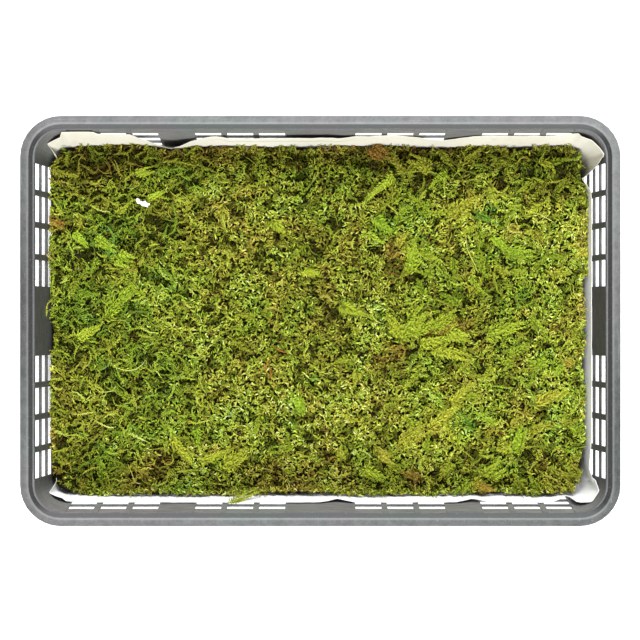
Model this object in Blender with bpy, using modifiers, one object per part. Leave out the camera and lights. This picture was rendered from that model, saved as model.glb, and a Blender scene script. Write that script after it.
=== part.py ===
"""A slotted plastic tray with a paper liner, filled with three laid sheets of living moss.

Metres, +Z up. The origin is under the middle of the tray, on the surface that it stands on.
+X runs along the tray's length.
"""

import math

import bmesh
import bpy
from mathutils import Matrix, Vector

# Tray, over the outside of its rim
RIM_LENGTH = 0.600
RIM_WIDTH = 0.410
RIM_CORNER = 0.041
TRAY_HEIGHT = 0.090
WALL = 0.0022
DRAFT = 0.16
EDGE_ROUNDING = 0.0006
ROUNDED_EDGE_ANGLE = 60.0
SHARP_EDGE_ANGLE = 30.0

# Rim, from its outer edge inwards: skirt, slope, flat band, slanted step and narrow ledge
SKIRT_DROP = 0.015
SLOPE_DROP = 0.0034
SLOPE_WIDTH = 0.0046
BAND_WIDTH = 0.0087
BAND_FALL = 0.0006
STEP_WIDTH = 0.0036
STEP_DROP = 0.005
LEDGE_WIDTH = 0.0020

# Base: a flat band to stand on, round a raised middle
FOOT_BAND = 0.009
BASE_RAMP = 0.003
BASE_RAISE = 0.0028

# Wall slots, in columns along each side and rows down it
SLOT_PITCH = 0.0323
SLOT_LENGTH = 0.0265
ROW_PITCH = 0.018
SLOT_DROP = 0.0155
LONG_PANEL = 0.071
LONG_BLANK = 0.037
LONG_RUN = 3
SHORT_PANEL = 0.070
SHORT_RUN = 4

# Rows: how many, and how far below the ledge the first one ends
LONG_ROWS = (3, 0.0247)
SHORT_ROWS = (4, 0.0183)

# Sloped lintel over each top slot: how far it comes down, and how far back it starts
LONG_LINTEL = (0.0106, 0.0016)
SHORT_LINTEL = (0.0024, 0.0009)

# Openings in the raised base
BASE_COLUMNS = 16
BASE_ROWS = 7
BASE_ROW_PITCH = 0.046
BASE_OPENING = 0.016

# Paper liner: its edge runs at this height, rising towards the back and the right
PAPER = 0.0004
PAPER_CLEARANCE = 0.0006
PAPER_EDGE = 0.050
PAPER_RISE_RIGHT = 0.020
PAPER_RISE_BACK = 0.045

# Moss, up to the tips of its shoots
GAP = 0.0003
MOSS_SIDE_CLEARANCE = 0.0008
MOSS_TOP = 0.0425
MOSS_EDGE_FALL = 0.003
MOSS_EDGE_WIDTH = 0.030
MOSS_SWELL = 0.0022
MOSS_RIPPLE = 0.0009
MOSS_CELL = 0.027

# Waves per metre of the moss's surface, as angles along X and along Y
SWELL_WAVES = (31.0, 37.0)
RIPPLE_WAVES = (73.0, -58.0)

# The seams between the sheets: where they run, and how they wander along the tray's width
SEAM_LEFT = -0.122
SEAM_RIGHT = 0.072
SEAM_WANDER = 0.008
SEAM_WAVES = 26.0

# Small things that lie on the moss: place in plan, heading in degrees, length
SCRAP = ((-0.184, 0.122), -22.0, 0.0135)
SCRAP_WIDTH = 0.0052
SCRAP_THICKNESS = 0.0006
SCRAP_CURL = 0.0012
SCRAP_TAPER = 0.5
SCRAP_BEND = 0.0013
SCRAP_BEND_TURN = 5.0
NEEDLES = (
    ((-0.0545, -0.0460), 70.0, 0.0140),
    ((-0.0500, -0.0530), 100.0, 0.0120),
    ((-0.0400, -0.0300), 158.0, 0.0130),
)
NEEDLE_RADIUS = 0.0006
NEEDLE_BOW = 0.0012
NEEDLE_TAPER = 0.55
NEEDLE_POINTS = 5

# Plain colours, linear
PLASTIC_COLOUR = (0.10, 0.105, 0.11)
PAPER_COLOUR = (0.80, 0.78, 0.70)
SCRAP_COLOUR = (0.90, 0.90, 0.88)
NEEDLE_COLOUR = (0.35, 0.12, 0.04)
DARK_MOSS = (0.10, 0.17, 0.02)
GOLDEN_MOSS = (0.17, 0.22, 0.03)
BRIGHT_MOSS = (0.16, 0.25, 0.02)
PLASTIC_ROUGHNESS = 0.6
SOFT_ROUGHNESS = 0.85

CORNER_STEPS = 8
CUT_MARGIN = 0.003

LEDGE_HEIGHT = TRAY_HEIGHT - STEP_DROP
LEDGE_INSET = BAND_WIDTH + STEP_WIDTH
WALL_TOP_INSET = LEDGE_INSET + LEDGE_WIDTH
BASE_TOP = WALL + BASE_RAISE
PAPER_BED = BASE_TOP + GAP + PAPER
MOSS_BED = PAPER_BED + GAP


def clear_scene():
    for item in list(bpy.data.objects):
        bpy.data.objects.remove(item, do_unlink=True)


def new_collection(name):
    collection = bpy.data.collections.new(name)
    bpy.context.scene.collection.children.link(collection)
    return collection


def new_material(name, colour, roughness):
    material = bpy.data.materials.new(name)
    material.use_nodes = True
    shader = material.node_tree.nodes["Principled BSDF"]
    shader.inputs["Base Color"].default_value = (*colour, 1.0)
    shader.inputs["Roughness"].default_value = roughness
    shader.inputs["Metallic"].default_value = 0.0
    return material


def add_object(name, shape, collection, material=None):
    """A named object from a bmesh, which is used up."""
    mesh = bpy.data.meshes.new(name)
    shape.to_mesh(mesh)
    shape.free()
    if material:
        mesh.materials.append(material)
    item = bpy.data.objects.new(name, mesh)
    collection.objects.link(item)
    return item


def add_cutter(name, shape, collection):
    cutter = add_object(name, shape, collection)
    cutter.hide_render = True
    cutter.display_type = "WIRE"
    return cutter


def cut(item, cutter, operation):
    modifier = item.modifiers.new(cutter.name, "BOOLEAN")
    modifier.object = cutter
    modifier.operation = operation
    modifier.solver = "EXACT"


def thicken(item, thickness):
    """Turn an open surface into a shell that grows away from its visible side."""
    modifier = item.modifiers.new("Shell", "SOLIDIFY")
    modifier.thickness = thickness
    modifier.offset = -1.0
    modifier.use_even_offset = True


def wall_inset(height):
    """How far in from the rim's outer edge the wall's inner face stands at a height."""
    return WALL_TOP_INSET + DRAFT * (LEDGE_HEIGHT - height)


def rounded_outline(inset):
    """The rim's outline in plan, moved inwards."""
    half_length = RIM_LENGTH / 2 - RIM_CORNER
    half_width = RIM_WIDTH / 2 - RIM_CORNER
    radius = RIM_CORNER - inset
    points = []
    for quarter, (side_x, side_y) in enumerate(((1, 1), (-1, 1), (-1, -1), (1, -1))):
        for step in range(CORNER_STEPS + 1):
            angle = math.radians(90 * (quarter + step / CORNER_STEPS))
            x = side_x * half_length + radius * math.cos(angle)
            y = side_y * half_width + radius * math.sin(angle)
            points.append((x, y))
    return points


def add_ring(shape, inset, height):
    """A closed loop of edges round the tray."""
    verts = [shape.verts.new((x, y, height)) for x, y in rounded_outline(inset)]
    return [shape.edges.new(pair) for pair in zip(verts, verts[1:] + verts[:1])]


def open_dish(profile):
    """A dish-shaped surface through (inset, height) rings, closed across the last one."""
    shape = bmesh.new()
    rings = [add_ring(shape, inset, height) for inset, height in profile]
    for ring, next_ring in zip(rings, rings[1:]):
        bmesh.ops.bridge_loops(shape, edges=ring + next_ring)
    bottom = bmesh.ops.contextual_create(shape, geom=rings[-1])["faces"][0]
    bmesh.ops.recalc_face_normals(shape, faces=shape.faces)
    if bottom.normal.z < 0:
        bmesh.ops.reverse_faces(shape, faces=shape.faces)
    return shape


def slot_places(panel, run, blank=0.0, runs=1):
    """Middles of the slots along one side, the same both ways from its middle panel."""
    run_length = SLOT_PITCH * (run - 1) + SLOT_LENGTH
    places = []
    for group in range(runs):
        start = panel / 2 + group * (run_length + blank) + SLOT_LENGTH / 2
        for column in range(run):
            place = start + SLOT_PITCH * column
            places += [place, -place]
    return places


def each_wall():
    """The turn that faces +Y out of each wall, half the tray across it, and its slots, rows and lintel."""
    long_places = slot_places(LONG_PANEL, LONG_RUN, LONG_BLANK, runs=2)
    short_places = slot_places(SHORT_PANEL, SHORT_RUN)
    for quarter in range(4):
        turn = Matrix.Rotation(math.radians(90 * quarter), 3, "Z")
        if quarter % 2:
            yield turn, RIM_LENGTH / 2, short_places, SHORT_ROWS, SHORT_LINTEL
        else:
            yield turn, RIM_WIDTH / 2, long_places, LONG_ROWS, LONG_LINTEL


def add_opening(shape, turn, place, low, high, inner, outer_low, outer_high):
    """A box across a wall. Its outer face may lean, so it has a reach at each end."""
    for vert in bmesh.ops.create_cube(shape, size=1.0)["verts"]:
        x = place + vert.co.x * SLOT_LENGTH
        if vert.co.z > 0:
            y, z = outer_high, high
        else:
            y, z = outer_low, low
        if vert.co.y < 0:
            y = inner
        vert.co = turn @ Vector((x, y, z))


def slot_cutter(collection):
    """Every wall slot and every opening in the base."""
    shape = bmesh.new()
    for turn, half, places, (rows, first_end), (lintel_drop, _) in each_wall():
        for row in range(rows):
            low = LEDGE_HEIGHT - first_end - ROW_PITCH * row
            high = low + SLOT_DROP if row else LEDGE_HEIGHT - lintel_drop
            inner = half - wall_inset(low) - CUT_MARGIN
            outer = half - wall_inset(high) + WALL + CUT_MARGIN
            for place in places:
                add_opening(shape, turn, place, low, high, inner, outer, outer)
    for column in range(BASE_COLUMNS):
        for row in range(BASE_ROWS):
            x = SLOT_PITCH * (column - (BASE_COLUMNS - 1) / 2)
            y = BASE_ROW_PITCH * (row - (BASE_ROWS - 1) / 2)
            opening = bmesh.ops.create_cube(shape, size=1.0)["verts"]
            size = (SLOT_LENGTH, BASE_OPENING, WALL + 2 * CUT_MARGIN)
            bmesh.ops.scale(shape, vec=size, verts=opening)
            bmesh.ops.translate(shape, vec=(x, y, BASE_TOP - WALL / 2), verts=opening)
    return add_cutter("slot_cutter", shape, collection)


def lintel_cutter(collection):
    """The wedge that slopes the wall back to the ledge, from just inside each top slot."""
    shape = bmesh.new()
    for turn, half, places, _, (drop, depth) in each_wall():
        low = LEDGE_HEIGHT - drop - EDGE_ROUNDING
        high = LEDGE_HEIGHT + EDGE_ROUNDING
        inner = half - wall_inset(low) - CUT_MARGIN
        outer_low = half - wall_inset(low)
        outer_high = half - WALL_TOP_INSET + depth
        for place in places:
            add_opening(shape, turn, place, low, high, inner, outer_low, outer_high)
    return add_cutter("lintel_cutter", shape, collection)


def build_tray(parts, cutters):
    foot_inset = wall_inset(WALL)
    shape = open_dish(
        [
            (0.0, TRAY_HEIGHT - SKIRT_DROP),
            (0.0, TRAY_HEIGHT - SLOPE_DROP),
            (SLOPE_WIDTH, TRAY_HEIGHT - BAND_FALL),
            (BAND_WIDTH, TRAY_HEIGHT),
            (LEDGE_INSET, LEDGE_HEIGHT),
            (WALL_TOP_INSET, LEDGE_HEIGHT),
            (foot_inset, WALL),
            (foot_inset + FOOT_BAND, WALL),
            (foot_inset + FOOT_BAND + BASE_RAMP, BASE_TOP),
        ]
    )
    plastic = new_material("tray_plastic", PLASTIC_COLOUR, PLASTIC_ROUGHNESS)
    tray = add_object("tray", shape, parts, plastic)
    thicken(tray, WALL)
    rounding = tray.modifiers.new("Rounding", "BEVEL")
    rounding.width = EDGE_ROUNDING
    rounding.segments = 1
    rounding.limit_method = "ANGLE"
    rounding.angle_limit = math.radians(ROUNDED_EDGE_ANGLE)
    cut(tray, slot_cutter(cutters), "DIFFERENCE")
    cut(tray, lintel_cutter(cutters), "DIFFERENCE")
    tray.data.shade_smooth()
    tray.data.set_sharp_from_angle(angle=math.radians(SHARP_EDGE_ANGLE))
    return tray


def paper_inset(height):
    return wall_inset(height) + PAPER_CLEARANCE + PAPER


def build_liner(parts):
    """One sheet of paper over the base, turned up along the walls and cut off on a slant."""
    shape = open_dish(
        [
            (paper_inset(LEDGE_HEIGHT), LEDGE_HEIGHT),
            (paper_inset(PAPER_BED), PAPER_BED),
        ]
    )
    bmesh.ops.bisect_plane(
        shape,
        geom=shape.verts[:] + shape.edges[:] + shape.faces[:],
        plane_co=(0.0, 0.0, PAPER_EDGE),
        plane_no=(-PAPER_RISE_RIGHT, -PAPER_RISE_BACK, 1.0),
        clear_outer=True,
    )
    paper = new_material("liner_paper", PAPER_COLOUR, SOFT_ROUGHNESS)
    liner = add_object("paper_liner", shape, parts, paper)
    thicken(liner, PAPER)
    return liner


def moss_height(x, y):
    """Height of the shoots' tips: low along the walls and gently swelling elsewhere."""
    to_side = RIM_LENGTH / 2 - wall_inset(MOSS_TOP) - abs(x)
    to_end = RIM_WIDTH / 2 - wall_inset(MOSS_TOP) - abs(y)
    nearness = max(0.0, 1.0 - min(to_side, to_end) / MOSS_EDGE_WIDTH)
    edge_fall = MOSS_EDGE_FALL * nearness**2
    swell = MOSS_SWELL * math.sin(SWELL_WAVES[0] * x) * math.cos(SWELL_WAVES[1] * y)
    ripple = MOSS_RIPPLE * math.sin(RIPPLE_WAVES[0] * x + RIPPLE_WAVES[1] * y)
    return MOSS_TOP - edge_fall + swell + ripple


def moss_bed_cutter(collection):
    """The space inside the liner, which gives the sheets their rounded outer corners."""
    shape = bmesh.new()
    inset_above_paper = PAPER_CLEARANCE + PAPER + MOSS_SIDE_CLEARANCE
    low = add_ring(shape, wall_inset(MOSS_BED) + inset_above_paper, MOSS_BED)
    high = add_ring(shape, wall_inset(TRAY_HEIGHT) + inset_above_paper, TRAY_HEIGHT)
    bmesh.ops.bridge_loops(shape, edges=low + high)
    bmesh.ops.contextual_create(shape, geom=low)
    bmesh.ops.contextual_create(shape, geom=high)
    bmesh.ops.recalc_face_normals(shape, faces=shape.faces)
    return add_cutter("moss_bed", shape, collection)


def seam(place, y):
    """Where a sheet's side runs. It wanders, and the outermost sides are trimmed off later."""
    return place + SEAM_WANDER * math.sin(SEAM_WAVES * (y + place))


def build_moss_sheet(name, left, right, colour, bed, parts):
    """One laid sheet: a slab with a swelling top, trimmed to the inside of the liner."""
    shape = bmesh.new()
    columns = round((right - left) / MOSS_CELL)
    rows = round(RIM_WIDTH / MOSS_CELL)
    top = bmesh.ops.create_grid(shape, x_segments=columns, y_segments=rows, size=0.5)["verts"]
    for vert in top:
        y = vert.co.y * RIM_WIDTH
        start = seam(left, y)
        x = start + (vert.co.x + 0.5) * (seam(right, y) - start)
        vert.co = (x, y, moss_height(x, y))
    lower = bmesh.ops.extrude_face_region(shape, geom=shape.faces[:], use_keep_orig=True)
    for item in lower["geom"]:
        if isinstance(item, bmesh.types.BMVert):
            item.co.z = 0.0
    bmesh.ops.recalc_face_normals(shape, faces=shape.faces)
    sheet = add_object(name, shape, parts, new_material(name, colour, SOFT_ROUGHNESS))
    cut(sheet, bed, "INTERSECT")
    return sheet


def resting_height(x, y, reach):
    """A height that clears the moss everywhere within reach of a place."""
    offsets = (-reach, 0.0, reach)
    return GAP + max(moss_height(x + dx, y + dy) for dx in offsets for dy in offsets)


def build_scrap(parts):
    """A torn white scrap, curled along its length."""
    (x, y), heading, length = SCRAP
    shape = bmesh.new()
    for vert in bmesh.ops.create_grid(shape, x_segments=6, y_segments=2, size=0.5)["verts"]:
        nearness = (2 * vert.co.x) ** 2
        taper = 1.0 - SCRAP_TAPER * nearness
        curl = SCRAP_CURL * nearness
        bend = SCRAP_BEND * math.sin(SCRAP_BEND_TURN * vert.co.x)
        vert.co = (vert.co.x * length, vert.co.y * SCRAP_WIDTH * taper + bend, curl)
    paper = new_material("white_scrap", SCRAP_COLOUR, SOFT_ROUGHNESS)
    scrap = add_object("white_scrap", shape, parts, paper)
    scrap.location = (x, y, resting_height(x, y, length / 2) + SCRAP_THICKNESS)
    scrap.rotation_euler.z = math.radians(heading)
    thicken(scrap, SCRAP_THICKNESS)
    return scrap


def build_needle(number, place, heading, length, parts):
    """A dry brown needle: a thin bowed rod that narrows to both ends."""
    name = f"dry_needle_{number}"
    curve = bpy.data.curves.new(name, "CURVE")
    curve.dimensions = "3D"
    curve.bevel_depth = NEEDLE_RADIUS
    curve.bevel_resolution = 1
    curve.use_fill_caps = True
    spline = curve.splines.new("POLY")
    spline.points.add(NEEDLE_POINTS - 1)
    for i, point in enumerate(spline.points):
        along = 2 * i / (NEEDLE_POINTS - 1) - 1
        point.co = (along * length / 2, NEEDLE_BOW * (1 - along**2), 0.0, 1.0)
        point.radius = 1.0 - NEEDLE_TAPER * along**2
    curve.materials.append(new_material(name, NEEDLE_COLOUR, SOFT_ROUGHNESS))
    needle = bpy.data.objects.new(name, curve)
    parts.objects.link(needle)
    x, y = place
    needle.location = (x, y, resting_height(x, y, length / 2) + NEEDLE_RADIUS)
    needle.rotation_euler.z = math.radians(heading)
    return needle


def main():
    clear_scene()
    parts = new_collection("moss_tray")
    cutters = new_collection("cutters")
    build_tray(parts, cutters)
    build_liner(parts)
    bed = moss_bed_cutter(cutters)
    half = RIM_LENGTH / 2
    for name, left, right, colour in (
        ("moss_sheet_left", -half, SEAM_LEFT - GAP, DARK_MOSS),
        ("moss_sheet_middle", SEAM_LEFT + GAP, SEAM_RIGHT - GAP, GOLDEN_MOSS),
        ("moss_sheet_right", SEAM_RIGHT + GAP, half, BRIGHT_MOSS),
    ):
        build_moss_sheet(name, left, right, colour, bed, parts)
    build_scrap(parts)
    for number, (place, heading, length) in enumerate(NEEDLES, start=1):
        build_needle(number, place, heading, length, parts)


main()
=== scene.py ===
"""Looks for a slotted tray of living moss: worn grey plastic, creased paper and three sheets of moss.

Metres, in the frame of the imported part: +X along the tray, +Y across it, +Z up, and the origin under
its middle. Places read off the photograph are in its pixels, each about 1 mm at the rim's height.
"""

import math
from types import SimpleNamespace

import bmesh
import bpy
import numpy as np
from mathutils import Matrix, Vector


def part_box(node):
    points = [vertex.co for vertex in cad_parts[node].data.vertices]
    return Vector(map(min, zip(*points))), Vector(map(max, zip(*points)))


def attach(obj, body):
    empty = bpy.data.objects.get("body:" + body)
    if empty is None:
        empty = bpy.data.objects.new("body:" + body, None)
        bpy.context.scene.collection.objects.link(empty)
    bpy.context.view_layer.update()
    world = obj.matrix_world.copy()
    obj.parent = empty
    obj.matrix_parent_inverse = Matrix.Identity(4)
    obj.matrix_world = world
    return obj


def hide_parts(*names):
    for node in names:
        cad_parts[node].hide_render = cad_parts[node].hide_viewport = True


SEED = 20

# Tray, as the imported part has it
RIM_LENGTH = 0.600
RIM_WIDTH = 0.410
RIM_CORNER = 0.041
TRAY_HEIGHT = 0.090
LEDGE_HEIGHT = 0.085
WALL_TOP_INSET = 0.0143
DRAFT = 0.16
PAPER_BED = 0.0057
MOSS_BED = 0.0060

# Camera, straight above the tray
CAMERA_HEIGHT = 1.475
CAMERA_OFFSET = (-0.0003, 0.001)
VIEW_WIDTH = 0.6378
PHOTO_WIDTH = 640
SENSOR = 36.0
PHOTO_MIDDLE = (320.3, 321.0)
PIXEL = 0.001

# Light: two windows, by place and watts, a weak sky and the floor's own glow
WINDOWS = {"back_window": ((0.20, 3.6, 3.5), 395.0), "front_window": ((0.20, -3.6, 3.5), 375.0)}
WINDOW_SIZE = (2.6, 2.2)
SKY_COLOUR = (0.95, 0.97, 1.0, 1.0)
SKY_STRENGTH = 0.22
FLOOR_REACH = 40.0
FLOOR_GLOW = 0.35

# Paper liner, with its rows as shares of the way up to its edge
PAPER = 0.0003
PAPER_CLEARANCE = 0.0010
PAPER_STEP = 0.0029
PAPER_RISES = (0, 0.1, 0.2, 0.3, 0.4, 0.5, 0.6, 0.67, 0.73, 0.78, 0.80, 0.82, 0.86, 0.91, 0.96, 1)
CORNER_COLUMNS = 18
FOLD_RISE = 0.81

# Unevenness of the paper: its edge, its lean away from the wall and its corner flaps
EDGE_WAVES = (0.0009, 0.0005)
LEAN_WAVES = (0.0006, 0.0003)
PUCKER = 0.0006
PUCKER_TURNS = (9, 40)
SWELL_NUMBERS = (37, 53, 71, 97)
RIPPLE_NUMBERS = (131, 173)
WAVE_SIZES = (0.4, 1.0)
FLAP_OFFSET = 0.012

# Upper edge of the paper along each side: place along the side, height, and how far it leans in
BACK_EDGE = (
    (-0.259, 0.084, 0), (-0.227, 0.084, 0), (-0.222, 0.077, 0), (-0.192, 0.076, 0),
    (-0.182, 0.066, 0.002), (-0.162, 0.060, 0.007), (-0.152, 0.058, 0.010), (-0.142, 0.060, 0.008),
    (-0.131, 0.061, 0.003), (-0.118, 0.067, 0.001), (-0.106, 0.071, 0), (0.010, 0.074, 0),
    (0.025, 0.070, 0), (0.050, 0.069, 0), (0.070, 0.073, 0), (0.096, 0.067, 0),
    (0.111, 0.061, 0.001), (0.126, 0.058, 0.001), (0.151, 0.067, 0), (0.166, 0.071, 0),
    (0.231, 0.070, 0), (0.259, 0.080, 0),
)
RIGHT_EDGE = (
    (0.164, 0.078, 0), (0.159, 0.067, 0), (0.154, 0.052, 0.001), (0.150, 0.045, 0.004),
    (0.146, 0.044, 0.010), (0.140, 0.043, 0.004), (0.134, 0.046, 0), (0.120, 0.048, 0),
    (-0.120, 0.048, 0), (-0.135, 0.047, 0.001), (-0.150, 0.050, 0.004), (-0.164, 0.060, 0.002),
)
FRONT_EDGE = (
    (0.259, 0.068, 0.004), (0.252, 0.052, 0.006), (0.243, 0.055, 0.002), (0.235, 0.057, 0),
    (0.175, 0.057, 0), (0.155, 0.054, 0.003), (0.138, 0.057, 0), (0.035, 0.057, 0),
    (0.017, 0.054, 0.003), (0.000, 0.057, 0), (-0.235, 0.057, 0), (-0.259, 0.056, 0.001),
)
LEFT_EDGE = (
    (-0.164, 0.042, 0.006), (-0.155, 0.030, 0.001), (-0.148, 0.026, 0), (0.148, 0.026, 0),
    (0.157, 0.031, 0.003), (0.164, 0.042, 0.008),
)

# How far the paper is folded in along the back: place along the side, and depth
BACK_FOLD = ((-0.110, 0.0), (-0.090, 0.0030), (0.018, 0.0030), (0.036, 0.0))

# Upper edge round each corner, anticlockwise from the back right one: pixel and height. The sheet's
# own corners stand up as flaps that cut across the tray's.
CORNER_EDGES = (
    ((603, 159, 0.080), (606, 154, 0.084), (600, 148, 0.084), (592, 140, 0.083), (579, 135, 0.082)),
    ((62, 136, 0.080), (54, 140, 0.074), (46, 143, 0.066), (51, 149, 0.054), (57, 157, 0.043)),
    ((57, 480, 0.042), (53, 487, 0.048), (49, 493, 0.055), (57, 497, 0.056), (64, 499, 0.056)),
    ((578, 503, 0.068), (592, 502, 0.072), (600, 491, 0.070), (596, 480, 0.064), (591, 477, 0.060)),
)

# White scrap: its outline in the photograph, thickness, lift and waves
SCRAP_OUTLINE = (
    (135.8, 199.7), (137.2, 198.4), (138.9, 198.8), (140.2, 201.0), (143.0, 202.0), (145.6, 200.9),
    (146.6, 203.0), (150.2, 203.7), (149.2, 205.4), (147.6, 205.4), (147.9, 207.7), (145.0, 206.4),
    (142.1, 206.0), (140.0, 203.8), (137.5, 203.7),
)
SCRAP_THICKNESS = 0.0004
SCRAP_LIFT = 0.0012
SCRAP_WAVES = ((0.0007, 620.0), (0.0004, 900.0))

# Moss surface: height, fall towards the walls, and swell
MOSS_TOP = 0.0425
MOSS_EDGE_FALL = 0.003
MOSS_EDGE_WIDTH = 0.030
MOSS_SWELL = 0.0022
MOSS_RIPPLE = 0.0009
SWELL_WAVES = (31.0, 37.0)
RIPPLE_WAVES = (73.0, -58.0)

# Spills, where it stands higher at the left and at one place of the back. A zone is how far from the
# middle something starts, and the width over which it grows to its full amount.
LEFT_SPILL = 0.0075
LEFT_SPILL_ZONE = (0.258, 0.014)
BACK_SPILL = 0.0060
BACK_SPILL_ZONE = (0.166, 0.014)
BACK_SPILL_PLACE = -0.210
BACK_SPILL_REACH = 0.045

# Seams between the sheets
SEAM_LEFT = -0.122
SEAM_RIGHT = 0.072
SEAM_WANDER = 0.008
SEAM_WAVES = 26.0
SEAM_ROOM = 0.012

# Mat of old stems under the shoots
THATCH_CELL = 0.005
THATCH_DEPTH = 0.010
THATCH_ROUGHNESS = 0.0022
THATCH_LUMP = 0.012
THATCH_GAP = 0.0085
THATCH_FOOT_GAP = 0.0040
BARE_WALL_GAP = 0.0015

# Outline of the moss in the photograph, clockwise from its back left corner
MOSS_OUTLINE = (
    (58, 157), (62, 149), (69, 149), (78, 144), (94, 144), (133, 141), (151, 147), (168, 149),
    (197, 145), (289, 145), (300, 149), (310, 149), (319, 146), (381, 145), (429, 148), (451, 147),
    (472, 144), (499, 145), (510, 150), (545, 146), (570, 144), (583, 153), (582, 175), (587, 189),
    (590, 198), (590, 272), (583, 282), (587, 311), (585, 336), (588, 342), (583, 364), (588, 394),
    (585, 420), (588, 439), (583, 456), (576, 467), (583, 476), (574, 493), (545, 494), (506, 495),
    (490, 489), (474, 494), (429, 497), (390, 494), (358, 496), (323, 492), (284, 493), (228, 496),
    (151, 493), (94, 497), (69, 493), (63, 485), (58, 478), (51, 470), (49, 400), (50, 358),
    (53, 350), (53, 322), (49, 314), (48, 230), (48, 170),
)

# Parts of that outline along one axis: axis, sign, and the distance from the middle where they start
EDGE_ZONES = ((1, 1, 0.168), (0, 1, 0.2605), (1, -1, 0.159), (0, -1, 0.264))

# Patches of the moss that are greener (up) or more golden and brown (down): place, radius, shift
HUE_PATCHES = (
    (215, 225, 52, -0.10), (255, 190, 34, -0.07), (345, 255, 34, -0.05), (376, 153, 9, -0.40),
    (416, 152, 14, -0.20), (500, 186, 10, -0.30), (512, 228, 8, -0.32), (459, 325, 6, -0.32),
    (396, 354, 11, -0.30), (415, 477, 9, -0.32), (484, 486, 10, -0.30), (391, 250, 14, -0.26),
    (580, 240, 8, -0.26), (583, 305, 12, -0.24), (329, 464, 10, -0.20), (137, 480, 22, -0.22),
    (163, 462, 16, -0.34), (95, 176, 18, -0.16), (470, 200, 18, -0.12), (300, 486, 44, -0.12),
    (95, 242, 24, 0.12), (126, 303, 22, 0.13), (190, 313, 14, 0.10), (88, 330, 14, 0.10),
    (384, 225, 16, 0.16), (298, 407, 9, 0.15), (508, 247, 24, 0.12), (524, 298, 11, 0.22),
    (520, 437, 15, 0.14), (430, 320, 44, 0.07), (490, 211, 6, 0.30), (75, 300, 34, 0.08),
    (50, 175, 9, -0.26), (50, 226, 7, -0.24), (47, 254, 6, -0.26), (50, 372, 9, -0.20),
    (50, 440, 12, -0.24), (52, 474, 9, -0.30), (250, 148, 14, -0.16), (330, 150, 12, -0.20),
)

# Hollows, where dark old moss shows: place and radius
HOLLOWS = (
    (101, 170, 6), (142, 149, 8), (163, 458, 9), (161, 474, 10), (296, 160, 9), (376, 166, 9),
    (355, 225, 5), (312, 203, 5), (355, 262, 6), (427, 179, 9), (427, 237, 7), (398, 270, 10),
    (524, 204, 6), (506, 262, 6), (493, 291, 7), (565, 305, 7), (587, 182, 6), (508, 380, 9),
    (473, 458, 12), (430, 422, 6), (585, 399, 5), (381, 378, 9), (377, 360, 7), (377, 407, 6),
    (324, 431, 6), (72, 155, 6), (270, 470, 6), (541, 466, 7), (560, 330, 6), (134, 333, 7),
)

# Where the dry needles lie, on moss that stands as high as they do: place, radius and share
NEEDLE_BED = (266, 356, 26, 0.6)

# Broad fronds that stand out: two ends, width and hue. An end that leans up a wall gives its height.
FRONDS = (
    ((105, 318), (135, 286), 16, 0.70), ((96, 240), (114, 250), 12, 0.70),
    ((74, 232), (87, 245), 9, 0.72), ((118, 257), (134, 263), 9, 0.68),
    ((135, 177), (151, 172), 6, 0.62), ((147, 200), (163, 193), 6, 0.66),
    ((276, 219), (285, 231), 12, 0.60), ((302, 270), (317, 274), 7, 0.60),
    ((395, 174), (366, 200), 9, 0.64), ((377, 216), (394, 231), 15, 0.76),
    ((340, 306), (364, 315), 15, 0.62), ((431, 169), (407, 157), 10, 0.50),
    ((447, 216), (484, 197), 15, 0.48), ((491, 236), (506, 252), 9, 0.72),
    ((505, 251), (535, 254), 11, 0.72), ((413, 270), (414, 240), 12, 0.68),
    ((398, 334), (440, 322), 13, 0.64), ((420, 345), (463, 337), 13, 0.60),
    ((485, 334), (531, 322), 13, 0.66), ((430, 350), (467, 361), 13, 0.55),
    ((451, 404), (473, 383), 12, 0.50), ((397, 446), (428, 427), 12, 0.48),
    ((424, 429), (459, 405), 12, 0.50), ((531, 405), (558, 393), 15, 0.46),
    ((514, 451), (524, 423), 13, 0.70), ((485, 475), (501, 463), 12, 0.62),
    ((475, 485), (493, 487), 9, 0.28), ((170, 438), (193, 465), 10, 0.54),
    ((202, 462), (229, 449), 11, 0.56), ((222, 468), (248, 452), 15, 0.56),
    ((364, 470), (385, 480), 12, 0.62), ((377, 454), (392, 463), 8, 0.42),
    ((399, 338), (391, 320), 13, 0.58), ((78, 337), (99, 325), 12, 0.62),
    ((409, 326), (427, 309), 14, 0.62), ((430, 331), (455, 313), 14, 0.62),
    ((446, 331), (468, 337), 11, 0.60), ((226, 505, 0.063), (257, 491, 0.044), 6, 0.55),
    ((298, 399), (302, 415), 9, 0.74), ((369, 148), (384, 158), 9, 0.12),
)

# Long thin shoots that stand out, through a few places each, with heights likewise, and their hue
RUNNERS = (
    (((108, 354), (109, 363), (117, 369), (131, 371), (140, 368), (147, 358)), 0.62),
    (((70, 412), (79, 415), (87, 413), (96, 412)), 0.45),
    (((93, 419), (101, 424), (110, 428), (116, 427)), 0.48),
    (((128, 433), (137, 437), (147, 442)), 0.60),
    (((133, 388), (133, 396), (136, 404), (136, 413)), 0.42),
    (((186, 420), (195, 424), (202, 422), (212, 420)), 0.55),
    (((169, 160), (182, 163), (197, 166)), 0.48),
    (((390, 175), (402, 173), (416, 171), (434, 171), (445, 180), (452, 187)), 0.50),
    (((259, 405), (265, 406), (270, 416)), 0.45),
    (((203, 485), (212, 483), (229, 486)), 0.48),
    (((167, 424), (171, 432), (171, 441)), 0.55),
    (((480, 192), (492, 189), (505, 194)), 0.50),
    (((523, 210), (540, 214), (556, 223)), 0.50),
    (((44, 318, 0.055), (45, 310, 0.055), (47, 304, 0.052), (52, 300, 0.046)), 0.52),
    (((43, 256, 0.058), (46, 255, 0.055), (50, 257, 0.050), (54, 262, 0.046)), 0.20),
)

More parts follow.
